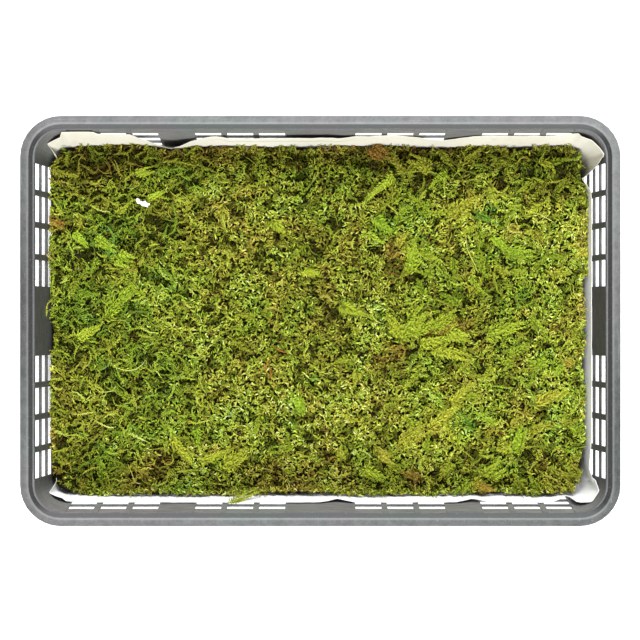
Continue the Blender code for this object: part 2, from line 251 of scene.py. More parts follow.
# Bare pale threads, in the same way
THREADS = (
    (((134, 162), (138, 166), (144, 167)), 0.10),
    (((142, 181), (148, 186), (146, 192), (141, 197)), 0.50),
    (((94, 373), (97, 378), (95, 388), (100, 392), (110, 392), (117, 389)), 0.55),
    (((170, 205), (168, 213), (172, 220)), 0.50),
    (((385, 202), (393, 209), (400, 215)), 0.52),
    (((465, 230), (467, 250), (478, 271)), 0.50),
    (((355, 454), (359, 450), (367, 453), (373, 459)), 0.50),
    (((256, 470), (266, 469), (275, 472)), 0.42),
    (((127, 463), (132, 473), (135, 483), (143, 484)), 0.38),
    (((536, 242), (541, 244), (544, 254)), 0.52),
    (((206, 401), (210, 406), (214, 414)), 0.55),
)

# Sizes of the patches over which the moss varies
PATCH_SIZES = {
    "coarse": 0.050, "vigour": 0.060, "medium": 0.018, "fine": 0.0075, "swirl": 0.030, "clump": 0.010,
}

# Hue: drift over coarse and medium patches, a browner shift along the back as part of its painted shade,
# and spread of shoots and twigs
HUE_DRIFT = (0.16, 0.26)
BACK_HUE = 0.10
BACK_HUE_ZONE = (0.145, 0.035)
HUE_SPREAD = 0.095
TWIG_HUE_SPREAD = 0.04
CORNER_HUE = 0.006

# How deep the tips lie, which also darkens them with painted shade: in fine gaps, over medium and wide
# patches, along the back where it paints the back wall's shade, to the left, along the right seam, and in
# hollows
GAP_SINK = 0.0062
GAP_SHARE = 0.46
GAP_POWER = 1.2
MEDIUM_SINK = 0.0014
WIDE_SINK = 0.0028
BACK_SINK = 0.0021
BACK_SINK_ZONE = (0.118, 0.045)
LEFT_SINK = 0.0012
LEFT_SINK_ZONE = (0.105, 0.100)
SEAM_SINK = 0.0008
SEAM_SINK_WIDTH = 0.012
HOLLOW_SINK = 0.0044
HOLLOW_SPREAD = 1.3

# Share of the places where bare old stalks show: everywhere, along the back, and in hollows at most
BARE_SHARE = 0.03
BARE_BACK = 0.15
BARE_BACK_ZONE = (0.150, 0.030)
BARE_HOLLOW = 0.8

# Spacing of the shoots, reach of their tips, and the drawn ones' usual width, dip and bundling
TURF_SPACING = 0.0030
TUFT_SPACING = 0.0058
STALK_SPACING = 0.0034
TIP_REACH = (1.008, 1.012)
FROND_WIDTH = 11
LONG_DIP = 0.0012
BUNDLE_SPREAD = (1.0, 1.0, 0.2)

# Fringe along the outline, deeper and browner along the back and the left, as painted shade of the walls
# there
FRINGE_SPACING = 0.0008
FRINGE_WIDTH = 0.020
FRINGE_DEPTH = (-0.0005, 0.0050)
FRINGE_SINK = 0.5
FRINGE_TURN = 2.0
FRINGE_SHADE = 0.0022
FRINGE_SHADE_ZONE = (0.264, 0.008)
BACK_SHIFT = 0.100
FRINGE_SHADE_HUE = 45.0
RAGGED_EDGE = 0.0008

# Strays that lean out over the paper and the bare wall: share of the fringe, turn and hue
STRAY_SHARE = 0.18
STRAY_TURN = 0.45
STRAY_HUE = (-0.06, 0.10)

# Painted light in a shoot's colour: at the surface, the depth over which it is lost, and what is left
# deep down
OPEN_LIGHT = 1.4
SHADE_DEPTH = 0.0058
DEEP_LIGHT = 0.04

# Twigs along a stem: the share of it before the first one and from there on, how unevenly they stand,
# how their angle closes, the outline that their ends draw, and the pitch that they start with and lose
FIRST_TWIG = 0.07
TWIG_RUN = 0.93
TWIG_SHAKE = 0.25
TWIG_LIMITS = (0.02, 0.985)
TWIG_CLOSING = 0.45
OUTLINE_START = 0.12
OUTLINE_RUN = 0.84
SHORT_TWIG = 0.35
TWIG_ARCH = 0.25
CURL_SPREAD = 0.25
TWIG_LIGHT = (0.65, 1.0)

def shoot_kind(**values):
    """A kind of shoot, in metres and radians, with the usual values where none is given.

    It rises, droops by a share of that, turns over its length and wobbles from joint to joint. It lies
    at a depth, and sinks by a share of the ground's sink. It faces along patches, somewhat astray. Its
    slack is how far it may pass the moss's outline, and its margin is the room to the wall.
    """
    usual = {
        "twigs": 0, "bundle": 1, "loose": 0.0, "slack": (-0.0030, 0.0014), "depth": (0.0, 0.0015),
        "sinking": 0.35, "deepest": math.inf, "facing": "swirl", "astray": 0.8, "hues": None,
        "drawn_depth": 0.0,
    }
    return SimpleNamespace(**{**usual, **values})


TWIG = shoot_kind(
    length=(0.0045, 0.0095), joints=4, turn=2.6, wobble=0.25, rise=(0.0, 1.1), droop=0.6,
    stem=(0.0014, 0.0027), root_tone=0.04, tip_tone=1.0, light=(0.30, 1.20), flat=0.55, margin=0.0010,
    depth=(0.0, 0.0020), sinking=1.0, deepest=0.0074, facing="clump", astray=0.7,
)
TUFT = shoot_kind(
    length=(0.004, 0.010), joints=4, turn=1.4, wobble=0.20, rise=(0.1, 1.1), droop=0.6,
    stem=(0.0010, 0.0016), root_tone=0.10, tip_tone=0.95, light=(0.35, 1.15), twigs=8,
    twig_length=(0.0026, 0.0050), spread=1.2, untidy=0.45, taper=0.8, lift=0.30, curl=0.5,
    twig=(0.0010, 0.0019), flat=0.6, margin=0.0010, sinking=1.0, deepest=0.0074, astray=1.0,
)
RUNNER = shoot_kind(
    length=(0.010, 0.026), joints=8, turn=2.0, wobble=0.25, rise=(0.05, 0.35), droop=1.0,
    stem=(0.0007, 0.0010), root_tone=0.32, tip_tone=0.80, light=(0.50, 1.05), twigs=30,
    twig_length=(0.0016, 0.0031), spread=0.85, untidy=0.40, taper=0.7, lift=0.15, curl=0.4,
    twig=(0.0009, 0.0015), flat=0.6, margin=0.0012, drawn_depth=0.0002,
)
FROND = shoot_kind(
    length=(0.016, 0.034), joints=7, turn=0.7, wobble=0.06, rise=(0.05, 0.30), droop=1.0,
    stem=(0.0009, 0.0012), root_tone=0.38, tip_tone=0.60, light=(0.66, 0.94), twigs=48,
    twig_length=(0.0040, 0.0086), spread=1.0, untidy=0.40, taper=0.55, lift=0.10, curl=0.7,
    twig=(0.0013, 0.0021), flat=0.4, margin=0.0014, bundle=3, loose=0.0026, drawn_depth=0.0003,
)
THREAD = shoot_kind(
    length=(0.010, 0.026), joints=8, turn=1.6, wobble=0.18, rise=(0.1, 0.5), droop=1.0,
    stem=(0.0007, 0.0010), root_tone=0.42, tip_tone=0.70, light=(0.6, 1.0), flat=0.9, margin=0.0016,
)
STRAY = shoot_kind(
    length=(0.008, 0.014), joints=4, turn=0.9, wobble=0.15, rise=(0.50, 0.95), droop=0.25,
    stem=(0.0009, 0.0014), root_tone=0.15, tip_tone=0.80, light=(0.30, 0.72), twigs=6,
    twig_length=(0.0020, 0.0042), spread=1.1, untidy=0.40, taper=0.8, lift=0.20, curl=0.5,
    twig=(0.0009, 0.0016), flat=0.6, margin=0.0010, slack=(0.0002, 0.0040), depth=(-0.0024, 0.0010),
)
STALK = shoot_kind(
    length=(0.006, 0.016), joints=6, turn=1.8, wobble=0.30, rise=(0.0, 0.8), droop=0.8,
    stem=(0.0008, 0.0014), root_tone=0.20, tip_tone=0.60, light=(0.4, 1.0), flat=0.8, margin=0.0030,
    depth=(0.0010, 0.0040), sinking=0.5, astray=2.0, hues=(0.02, 0.25),
)

# Sheets: the seams at their ends, the mat's room to the wall, hue, look of the shoots (where the tips
# turn pale as a painted highlight, how pale, and how dull the dullest are), and the spacing and share of
# the long shoots
SHEETS = {
    "left": SimpleNamespace(
        ends=(-RIM_LENGTH / 2, SEAM_LEFT), gap=BARE_WALL_GAP, slot="moss_dark", hue=0.65,
        look=(0.65, 0.65, 0.70), long=((RUNNER, 0.0105, 0.8), (THREAD, 0.030, 0.5), (FROND, 0.040, 0.5)),
    ),
    "middle": SimpleNamespace(
        ends=(SEAM_LEFT, SEAM_RIGHT), gap=THATCH_GAP, slot="moss_golden", hue=0.60,
        look=(0.65, 0.70, 0.70), long=((RUNNER, 0.024, 0.5), (THREAD, 0.034, 0.5), (FROND, 0.048, 0.5)),
    ),
    "right": SimpleNamespace(
        ends=(SEAM_RIGHT, RIM_LENGTH / 2), gap=THATCH_GAP, slot="moss_bright", hue=0.59,
        look=(0.75, 0.55, 0.70), long=((RUNNER, 0.0155, 0.8), (THREAD, 0.034, 0.5), (FROND, 0.021, 0.6)),
    ),
}
FROND_LOOK = (0.80, 0.45, 0.30)

# Colours, all linear. Moss goes from brown and rust to golden, yellow-green and deep green: at the root
# and the tip of a twig, the pale straw of its very end as a painted highlight, and the greyer ones of
# dull twigs.
PALETTE_MAP = "OFBake"
PALETTE_LIMITS = (0.002, 0.998)
ROOT_COLOURS = [
    (0.00, (0.020, 0.010, 0.006)),
    (0.35, (0.020, 0.014, 0.002)),
    (0.55, (0.012, 0.017, 0.001)),
    (0.95, (0.006, 0.015, 0.001)),
]
TIP_COLOURS = [
    (0.00, (0.370, 0.160, 0.060)),
    (0.15, (0.660, 0.330, 0.056)),
    (0.35, (0.860, 0.730, 0.098)),
    (0.55, (0.790, 0.880, 0.074)),
    (0.75, (0.570, 0.840, 0.056)),
    (0.95, (0.230, 0.550, 0.066)),
]
PALE_TIP = (0.86, 0.90, 0.58)
DULL_COLOURS = [
    (0.00, (0.014, 0.012, 0.006)),
    (0.50, (0.275, 0.300, 0.068)),
    (0.90, (0.720, 0.750, 0.400)),
]
OLD_STEMS = ((0.010, 0.006, 0.004), (0.060, 0.038, 0.024))
GREEN_STEMS = ((0.008, 0.009, 0.002), (0.034, 0.040, 0.006))

# Plastic, darker to paler mottling: walls and step in painted shade at the ends, painted light at the
# long sides
SHADED_END_WALL = ((0.055, 0.057, 0.056), (0.105, 0.103, 0.100))
LIT_SIDE_WALL = ((0.125, 0.127, 0.125), (0.210, 0.205, 0.200))
SHADED_END_STEP = (0.045, 0.047, 0.048)
LIT_SIDE_STEP = (0.110, 0.114, 0.117)
# The rim's top, in painted shade at the left and painted light at the back
SHADED_RIM_TONES = ((0.046, 0.050, 0.050), (0.096, 0.100, 0.100))
LIT_RIM_TONES = ((0.118, 0.123, 0.125), (0.196, 0.201, 0.203))
# Painted highlight along the ledge
LEDGE_HIGHLIGHT = (0.130, 0.134, 0.138)
# Painted highlights along the crest, brighter on the long sides
END_CREST_HIGHLIGHT = (0.20, 0.195, 0.185)
SIDE_CREST_HIGHLIGHT = (0.27, 0.275, 0.28)
# Then tints, scuffs and dirt
TINTS = ((0.94, 1.0, 0.96), (1.0, 0.95, 0.97))
SCUFF_COLOUR = (0.26, 0.27, 0.27)
SPECK_COLOUR = (0.32, 0.31, 0.28)

# Paper in painted shade along the back and white along the front, its stains, the scrap, the needles and
# the floor
SHADED_PAPER = ((0.70, 0.665, 0.555), (0.78, 0.755, 0.67))
WHITE_PAPER = ((0.86, 0.86, 0.85), (0.93, 0.94, 0.95))
STAIN_COLOUR = (0.50, 0.37, 0.22)
SCRAP_COLOURS = ((0.86, 0.84, 0.78), (0.95, 0.95, 0.94))
NEEDLE_COLOURS = ((0.14, 0.034, 0.008), (0.50, 0.175, 0.034))
FLOOR_COLOURS = ((0.93, 0.93, 0.93), (0.96, 0.96, 0.96))


def photo_place(px, py, height=MOSS_TOP):
    """Where a pixel of the photograph is in plan, on a surface at a height."""
    scale = VIEW_WIDTH / PHOTO_WIDTH * (CAMERA_HEIGHT + TRAY_HEIGHT - height) / CAMERA_HEIGHT
    return (px - PHOTO_MIDDLE[0]) * scale, (PHOTO_MIDDLE[1] - py) * scale


def fade(value, zone):
    """A share that grows from 0 where a zone starts to 1 over the zone's width."""
    start, width = zone
    return np.clip((value - start) / width, 0.0, 1.0)


# -------- objects


def new_object(name, data):
    item = bpy.data.objects.new(name, data)
    bpy.context.scene.collection.objects.link(item)
    return item


def add_item(name, mesh, material):
    """An object from a mesh, shaded smooth and of one material."""
    mesh.materials.append(material)
    mesh.shade_smooth()
    return new_object(name, mesh)


def add_shape(name, shape, material):
    """The same from a shape that is being built, which is used up."""
    mesh = bpy.data.meshes.new(name)
    shape.to_mesh(mesh)
    shape.free()
    return add_item(name, mesh, material)


def place_piece(item, node):
    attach(item, "root")
    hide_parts(node)


def thicken(item, thickness):
    solid = item.modifiers.new("Thickness", "SOLIDIFY")
    solid.thickness = thickness
    solid.offset = -1.0


# -------- materials


def new_material(name):
    material = bpy.data.materials.new(name)
    material.use_nodes = True
    return material, material.node_tree, material.node_tree.nodes["Principled BSDF"]


def join(socket, value):
    """Gives a socket its value: a number, a colour or another node's output."""
    if isinstance(value, bpy.types.NodeSocket):
        socket.id_data.links.new(value, socket)
    else:
        socket.default_value = value


def set_inputs(node, **inputs):
    for name, value in inputs.items():
        join(node.inputs[name.replace("_", " ")], value)


def add_node(tree, kind, settings=None, **inputs):
    node = tree.nodes.new(kind)
    for name, value in (settings or {}).items():
        setattr(node, name, value)
    set_inputs(node, **inputs)
    return node


def noise(where, scale, detail=3.0, roughness=0.6):
    inputs = {"Vector": where, "Scale": scale, "Detail": detail, "Roughness": roughness}
    return add_node(where.id_data, "ShaderNodeTexNoise", **inputs).outputs["Fac"]


def split(vector):
    return add_node(vector.id_data, "ShaderNodeSeparateXYZ", Vector=vector).outputs


def ramp(value, *stops):
    """A colour ramp through (position, colour) stops, where a colour may be one grey level."""
    node = add_node(value.id_data, "ShaderNodeValToRGB", Fac=value)
    elements = node.color_ramp.elements
    while len(elements) < len(stops):
        elements.new(0.5)
    for element, (position, colour) in zip(elements, stops):
        element.position = position
        element.color = (*(colour if isinstance(colour, tuple) else (colour,) * 3), 1.0)
    return node.outputs["Color"]


def blend(value, low, high, tones=(0.0, 1.0)):
    """One tone up to a low value and another from a high one, by default a mask from 0 to 1."""
    return ramp(value, (low, tones[0]), (high, tones[1]))


def mix(factor, first, second, blend_type="MIX"):
    sockets = [value for value in (factor, first, second) if isinstance(value, bpy.types.NodeSocket)]
    node = sockets[0].id_data.nodes.new("ShaderNodeMix")
    node.data_type = "RGBA"
    node.blend_type = blend_type
    for index, value in ((0, factor), (6, first), (7, second)):
        join(node.inputs[index], (*value, 1.0) if isinstance(value, tuple) else value)
    return node.outputs[2]


def math_node(operation, *values):
    """A sum on one or two values, of which the first is a node's output."""
    node = add_node(values[0].id_data, "ShaderNodeMath", {"operation": operation})
    for socket, value in zip(node.inputs, values):
        join(socket, value)
    return node.outputs[0]


def band(value, low, peak, high):
    """A mask that rises from a low value to a peak and falls off again to a high one."""
    share = add_node(value.id_data, "ShaderNodeMapRange", Value=value, From_Min=low, From_Max=high)
    return ramp(share.outputs[0], (0.0, 0.0), ((peak - low) / (high - low), 0.8), (1.0, 0.0))


def object_places(tree, stretch=(1.0, 1.0, 1.0)):
    where = add_node(tree, "ShaderNodeTexCoord").outputs["Object"]
    return add_node(tree, "ShaderNodeMapping", Vector=where, Scale=stretch).outputs["Vector"]


def slanting(place, slope):
    """How far back a place is, from 0 to 1, with a slope from side to side."""
    aside = math_node("MULTIPLY", place["X"], slope)
    return math_node("ADD", math_node("ADD", place["Y"], aside), 0.5)


def add_bump(shader, height, strength, distance):
    bump = add_node(shader.id_data, "ShaderNodeBump", Height=height, Strength=strength, Distance=distance)
    join(shader.inputs["Normal"], bump.outputs["Normal"])


def plastic_material():
    """Dark grey plastic with painted light, shade and highlights: darker on its step, blotched on the
    walls.
    """
    material, tree, shader = new_material("worn_plastic")
    where = object_places(tree)
    place = split(where)
    facing = add_node(tree, "ShaderNodeNewGeometry").outputs["Normal"]
    up = split(facing)["Z"]
    on_step = blend(up, 0.30, 0.50)
    on_top = blend(up, 0.68, 0.84)
    across = math_node("ABSOLUTE", place["Y"])
    long_side = blend(across, 0.182, 0.192)
    mottle = noise(where, 105.0, 8.0, 0.80)
    streaks = noise(object_places(tree, (1.0, 1.0, 7.0)), 60.0, 4.0, 0.65)
    pale = blend(streaks, 0.30, 0.70, LIT_SIDE_WALL)
    deep = blend(streaks, 0.30, 0.70, SHADED_END_WALL)
    # Painted shade on the end walls, painted light on the long ones
    walls = mix(blend(across, 0.160, 0.176), deep, pale)
    # The step likewise: painted shade at the ends, painted light along the long sides
    step = mix(long_side, SHADED_END_STEP, LIT_SIDE_STEP)
    shaded_rim = blend(mottle, 0.34, 0.66, SHADED_RIM_TONES)
    lit_rim = blend(mottle, 0.34, 0.66, LIT_RIM_TONES)
    # Painted light on the rim's top: palest at the back, darkest along the left
    back = slanting(place, 0.22)
    rim_light = ramp(back, (0.28, 0.6), (0.42, 0.0), (0.47, 0.0), (0.56, 0.45), (0.70, 1.0))
    colour = mix(on_step, walls, step)
    colour = mix(on_top, colour, mix(rim_light, shaded_rim, lit_rim))
    # Painted highlight along the ledge on the rim's top
    ledge = band(place["Z"], 0.0843, 0.0848, 0.0856)
    colour = mix(mix(1.0, ledge, on_top, "MULTIPLY"), colour, LEDGE_HIGHLIGHT)
    # Painted highlight along the crest, brighter on the long sides
    crest_highlight = band(place["Z"], 0.0896, 0.0900, 0.0910)
    colour = mix(crest_highlight, colour, mix(long_side, END_CREST_HIGHLIGHT, SIDE_CREST_HIGHLIGHT))
    tint = blend(noise(where, 17.0, 2.0, 0.5), 0.35, 0.65, TINTS)
    colour = mix(1.0, colour, tint, "MULTIPLY")
    long_marks = noise(object_places(tree, (6.0, 190.0, 190.0)), 4.0, 4.0, 0.7)
    cross_marks = noise(object_places(tree, (190.0, 6.0, 190.0)), 4.0, 4.0, 0.7)
    scuffs = blend(mix(1.0, long_marks, cross_marks, "LIGHTEN"), 0.62, 0.72, (0.0, 0.7))
    colour = mix(mix(1.0, scuffs, on_top, "MULTIPLY"), colour, SCUFF_COLOUR)
    grit = noise(where, 900.0, 2.0, 0.5)
    colour = mix(blend(grit, 0.65, 0.73, (0.0, 0.55)), colour, SPECK_COLOUR)
    rough = ramp(mottle, (0.2, 0.55), (0.8, 0.72))
    set_inputs(shader, Base_Color=colour, Roughness=rough, Specular_IOR_Level=0.12)
    add_bump(shader, mix(0.35, grit, mottle), 0.35, 0.0006)
    return material


def paper_material():
    """Paper with painted shade, darker and yellower along the back and towards the left, with fibres,
    cockling and brown damp stains.
    """
    material, tree, shader = new_material("liner_paper")
    where = object_places(tree)
    place = split(where)
    cloud = noise(where, 14.0, 4.0, 0.6)
    shaded_paper = blend(cloud, 0.30, 0.70, SHADED_PAPER)
    white = blend(cloud, 0.30, 0.70, WHITE_PAPER)
    # Painted shade: darker and yellower along the back and towards the left, white at the front and the
    # right
    back = slanting(place, -0.3)
    colour = mix(blend(back, 0.44, 0.58), white, shaded_paper)
    fibres = noise(where, 700.0)
    colour = mix(1.0, colour, ramp(fibres, (0.35, 0.93), (0.65, 1.0)), "MULTIPLY")
    damp = noise(where, 26.0, 6.0, 0.7)
    colour = mix(blend(damp, 0.60, 0.78, (0.0, 0.55)), colour, STAIN_COLOUR)
    set_inputs(shader, Base_Color=colour, Roughness=0.85)
    cockle = noise(where, 95.0, 3.0, 0.55)
    add_bump(shader, mix(0.25, cockle, fibres), 0.5, 0.0012)
    return material


def moss_material(name, pale_from, paleness, dullness):
    """Moss shoots. Their map holds the hue across it, and up it the tone from root to tip with its
    painted light, whose top turns pale as a painted highlight.
    """
    material, tree, shader = new_material(name)
    chart = add_node(tree, "ShaderNodeUVMap", {"uv_map": PALETTE_MAP}).outputs["UV"]
    parts = split(chart)
    root = ramp(parts["X"], *ROOT_COLOURS)
    tip = ramp(parts["X"], *TIP_COLOURS)
    colour = mix(blend(parts["Y"], 0.0, 0.8), root, tip)
    # Pale straw at the highest tones: a painted highlight on the most lit tips
    colour = mix(blend(parts["Y"], pale_from, 1.0, (0.0, paleness)), colour, PALE_TIP)
    streaks = add_node(tree, "ShaderNodeMapping", Vector=chart, Scale=(1.0, 0.12, 1.0)).outputs["Vector"]
    dull = ramp(parts["Y"], *DULL_COLOURS)
    dulled = blend(noise(streaks, 42.0, 2.0, 0.6), 0.48, 0.62, (0.0, dullness))
    colour = mix(dulled, colour, dull)
    flecks = noise(chart, 60.0, 3.0, 0.7)
    colour = mix(1.0, colour, ramp(flecks, (0.30, 0.80), (0.70, 1.0)), "MULTIPLY")
    rough = ramp(flecks, (0.30, 0.50), (0.70, 0.70))
    set_inputs(shader, Base_Color=colour, Roughness=rough, Specular_IOR_Level=0.02)
    return material


def thatch_material():
    """The brown and olive tangle of old stems under the shoots."""
    material, tree, shader = new_material("moss_thatch")
    where = object_places(tree)
    coarse = noise(where, 60.0, 5.0, 0.7)
    fine = noise(where, 420.0, 4.0, 0.7)
    old = blend(fine, 0.30, 0.75, OLD_STEMS)
    green = blend(fine, 0.30, 0.75, GREEN_STEMS)
    colour = mix(blend(coarse, 0.42, 0.60), old, green)
    set_inputs(shader, Base_Color=colour, Roughness=0.9, Specular_IOR_Level=0.02)
    add_bump(shader, fine, 0.9, 0.0015)
    return material


def scrap_material():
    """Torn white paper with fine fibres."""
    material, tree, shader = new_material("torn_scrap")
    where = object_places(tree)
    colour = blend(noise(where, 260.0), 0.35, 0.6, SCRAP_COLOURS)
    set_inputs(shader, Base_Color=colour, Roughness=0.8)
    add_bump(shader, noise(where, 1200.0), 0.4, 0.0003)
    return material


def needle_material():
    """Rust-brown dry needles."""
    material, tree, shader = new_material("dry_needle")
    grain = noise(object_places(tree), 700.0, 4.0, 0.7)
    colour = blend(grain, 0.30, 0.70, NEEDLE_COLOURS)
    set_inputs(shader, Base_Color=colour, Roughness=0.7, Specular_IOR_Level=0.10)
    add_bump(shader, grain, 0.5, 0.0002)
    return material


def floor_material():
    """A plain pale floor, slightly cloudy and lit from within."""
    material, tree, shader = new_material("pale_floor")
    colour = blend(noise(object_places(tree), 2.0, 2.0, 0.5), 0.3, 0.7, FLOOR_COLOURS)
    set_inputs(shader, Base_Color=colour, Roughness=0.9)
    set_inputs(shader, Emission_Color=(1.0, 1.0, 1.0, 1.0), Emission_Strength=FLOOR_GLOW)
    return material


# -------- tray shapes that the pieces follow


def wall_inset(height):
    """How far in from the rim's outer edge the wall's inner face stands at a height."""
    return WALL_TOP_INSET + DRAFT * (LEDGE_HEIGHT - height)


def moss_height(x, y):
    """Height that the tips of the shoots reach: low along the walls and gently swelling elsewhere."""
    to_side = RIM_LENGTH / 2 - wall_inset(MOSS_TOP) - np.abs(x)
    to_end = RIM_WIDTH / 2 - wall_inset(MOSS_TOP) - np.abs(y)
    nearness = np.clip(1.0 - np.minimum(to_side, to_end) / MOSS_EDGE_WIDTH, 0.0, 1.0)
    swell = MOSS_SWELL * np.sin(SWELL_WAVES[0] * x) * np.cos(SWELL_WAVES[1] * y)
    ripple = MOSS_RIPPLE * np.sin(RIPPLE_WAVES[0] * x + RIPPLE_WAVES[1] * y)
    spill = LEFT_SPILL * fade(-x, LEFT_SPILL_ZONE)
    along = np.exp(-(((x - BACK_SPILL_PLACE) / BACK_SPILL_REACH) ** 2))
    spill += BACK_SPILL * along * fade(y, BACK_SPILL_ZONE)
    return MOSS_TOP - MOSS_EDGE_FALL * nearness**2 + swell + ripple + spill


def keep_inside(points, margin, paper_room=0.0):
    """Points pushed in to keep a margin from the wall, and some more room at the long sides."""
    inset = wall_inset(points[..., 2]) + margin
    radius = RIM_CORNER - wall_inset(MOSS_TOP)
    core_x = RIM_LENGTH / 2 - inset - radius
    core_y = RIM_WIDTH / 2 - inset - paper_room - radius
    out_x = points[..., 0] - np.clip(points[..., 0], -core_x, core_x)
    out_y = points[..., 1] - np.clip(points[..., 1], -core_y, core_y)
    shrink = np.minimum(1.0, radius / np.maximum(np.hypot(out_x, out_y), 1e-9))
    moved = points.copy()
    moved[..., 0] -= out_x * (1.0 - shrink)
    moved[..., 1] -= out_y * (1.0 - shrink)
    return moved


def seam(place, y):
    """Where the line between two sheets runs."""
    return place + SEAM_WANDER * np.sin(SEAM_WAVES * (y + place))


def sheet_at(x, y):
    if x < seam(SEAM_LEFT, y):
        return "left"
    return "middle" if x < seam(SEAM_RIGHT, y) else "right"


def smooth_patches(rng, size):
    """A function of x and y that wanders smoothly between 0 and 1 over patches of a size."""
    columns = int(RIM_LENGTH / size) + 3
    rows = int(RIM_WIDTH / size) + 3
    lattice = rng.random((columns, rows))

    def value(x, y):
        u = (x + RIM_LENGTH / 2) / size
        v = (y + RIM_WIDTH / 2) / size
        i = np.clip(u.astype(int), 0, columns - 2)
        j = np.clip(v.astype(int), 0, rows - 2)
        s = np.clip(u - i, 0, 1)
        t = np.clip(v - j, 0, 1)
        s = s * s * (3 - 2 * s)
        t = t * t * (3 - 2 * t)
        low = lattice[i, j] * (1 - s) + lattice[i + 1, j] * s
        high = lattice[i, j + 1] * (1 - s) + lattice[i + 1, j + 1] * s
        return low * (1 - t) + high * t

    return value


# -------- moss shoots


class Strands:
    """Collects closed tapering strands, each three-sided, and joins them into one mesh."""

    def __init__(self):
        self.places = []
        self.charts = []
        self.faces = []
        self.count = 0

    def add(self, points, width, thickness, hue, tone):
        """Strands through points (n, k, 3). Width, thickness and hue are (n,), and tone is (n, k)."""
        number, steps = points.shape[:2]
        inner = steps - 2
        ahead = points[:, 2:] - points[:, :-2]
        ahead /= np.linalg.norm(ahead, axis=-1, keepdims=True) + 1e-12
        side = np.cross(ahead, (0.0, 0.0, 1.0))
        side /= np.linalg.norm(side, axis=-1, keepdims=True) + 1e-12
        over = np.cross(side, ahead)
        along = np.linspace(0.0, 1.0, steps)[1:-1]
        fullness = (np.sin(math.pi * along**0.75) * 0.5 + 0.5) if inner > 1 else np.ones(1)
        verts = np.empty((number, 2 + 3 * inner, 3))
        chart = np.empty((number, 2 + 3 * inner, 2))
        for end in (0, -1):
            verts[:, end] = points[:, end]
            chart[:, end] = np.stack([hue, tone[:, end]], -1)
        for corner in range(3):
            angle = math.radians(90 + 120 * corner)
            across = (width[:, None] * fullness * math.cos(angle) / 2)[..., None]
            upward = (thickness[:, None] * fullness * math.sin(angle) / 2)[..., None]
            verts[:, 1 + corner : -1 : 3] = points[:, 1:-1] + side * across + over * upward
            chart[:, 1 + corner : -1 : 3, 0] = hue[:, None] + CORNER_HUE * (corner - 1)
            chart[:, 1 + corner : -1 : 3, 1] = tone[:, 1:-1]
        pattern = []
        last = 1 + 3 * inner
        for corner in range(3):
            following = (corner + 1) % 3
            pattern.append((0, 1 + following, 1 + corner))
            for ring in range(inner - 1):
                a, b = 1 + 3 * ring + corner, 1 + 3 * ring + following
                pattern += [(a, b, b + 3), (a, b + 3, a + 3)]
            pattern.append((last, last - 3 + corner, last - 3 + following))
        starts = self.count + np.arange(number)[:, None, None] * verts.shape[1]
        self.faces.append((np.array(pattern)[None] + starts).reshape(-1, 3))
        self.places.append(verts.reshape(-1, 3))
        self.charts.append(chart.reshape(-1, 2))
        self.count += number * verts.shape[1]

    def build(self, name, material):
        """One object of all the strands, with each corner's spot on the palette as its map."""
        places = np.concatenate(self.places)
        faces = np.concatenate(self.faces)
        spots = np.clip(np.concatenate(self.charts), *PALETTE_LIMITS).astype(np.float32)
        mesh = bpy.data.meshes.new(name)
        mesh.from_pydata(places, [], faces)
        layer = mesh.uv_layers.new(name=PALETTE_MAP)
        layer.data.foreach_set("uv", spots[faces.ravel()].ravel())
        return add_item(name, mesh, material)


def headings(yaw, pitch):
    return np.stack([np.cos(yaw) * np.cos(pitch), np.sin(yaw) * np.cos(pitch), np.sin(pitch)], -1)


def grow(strands, kind, x, y, yaw, hue, depth, rng):
    """Shoots of one kind, each a bowed stem with its middle at a place and its top at a depth."""
    number = len(x)
    steps = kind.joints - 1
    length = rng.uniform(*kind.length, number)
    turn = rng.normal(0.0, kind.turn, number)
    rise = rng.uniform(*kind.rise, number)
    middle = (np.arange(steps) + 0.5) / steps
    stem_yaw = yaw[:, None] + turn[:, None] * (middle - 0.5)
    stem_yaw = stem_yaw + rng.normal(0.0, kind.wobble, (number, steps))
    stem_pitch = rise[:, None] * (1.0 - 2.0 * kind.droop * middle)
    moves = headings(stem_yaw, stem_pitch) * (length / steps)[:, None, None]
    points = np.concatenate([np.zeros((number, 1, 3)), np.cumsum(moves, axis=1)], axis=1)
    points[..., :2] -= points[..., :2].mean(axis=1, keepdims=True)
    points[..., 0] += x[:, None]
    points[..., 1] += y[:, None]
    top = points[..., 2].max(axis=1)
    points[..., 2] += (moss_height(x, y) - depth - top)[:, None]
    points = draw_in(points, rng.uniform(*kind.slack, (number, 1)))
    dress(strands, kind, points, hue, depth, rng)


